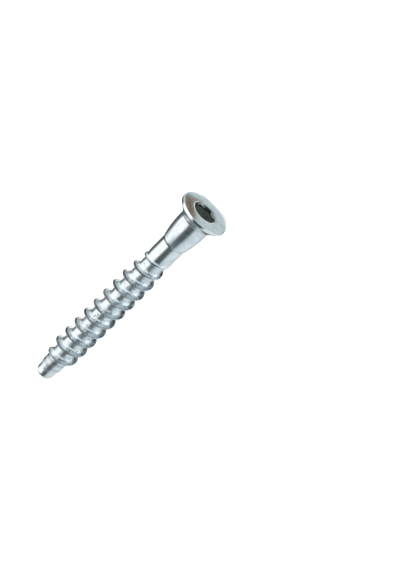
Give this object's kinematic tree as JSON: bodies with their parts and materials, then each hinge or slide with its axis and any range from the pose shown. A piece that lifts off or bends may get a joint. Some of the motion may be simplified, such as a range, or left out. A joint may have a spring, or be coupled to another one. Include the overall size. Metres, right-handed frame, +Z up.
{
  "type": "one piece furniture connector screw",
  "caption": "Furniture connector screw with a flat countersunk head, hex socket, tapered collar, plain shank, coarse right-hand thread and blunt dog point, in bright zinc-plated steel.",
  "frame": {"origin": "centre of the base of the bounding box, on the surface that the screw lies on", "axes": "+X along the screw towards its head, +Z up; the axis of the screw leans down towards the point by 2.56 degrees, as it rests on the rim of the head and a thread crest"},
  "size_m": [0.0502, 0.01, 0.01],
  "materials": {
    "zinc_plated_steel": "bright zinc plating, slightly blue, glossy"
  },
  "bodies": {
    "root": {"connector_screw": "zinc_plated_steel"}
  },
  "joints": []
}
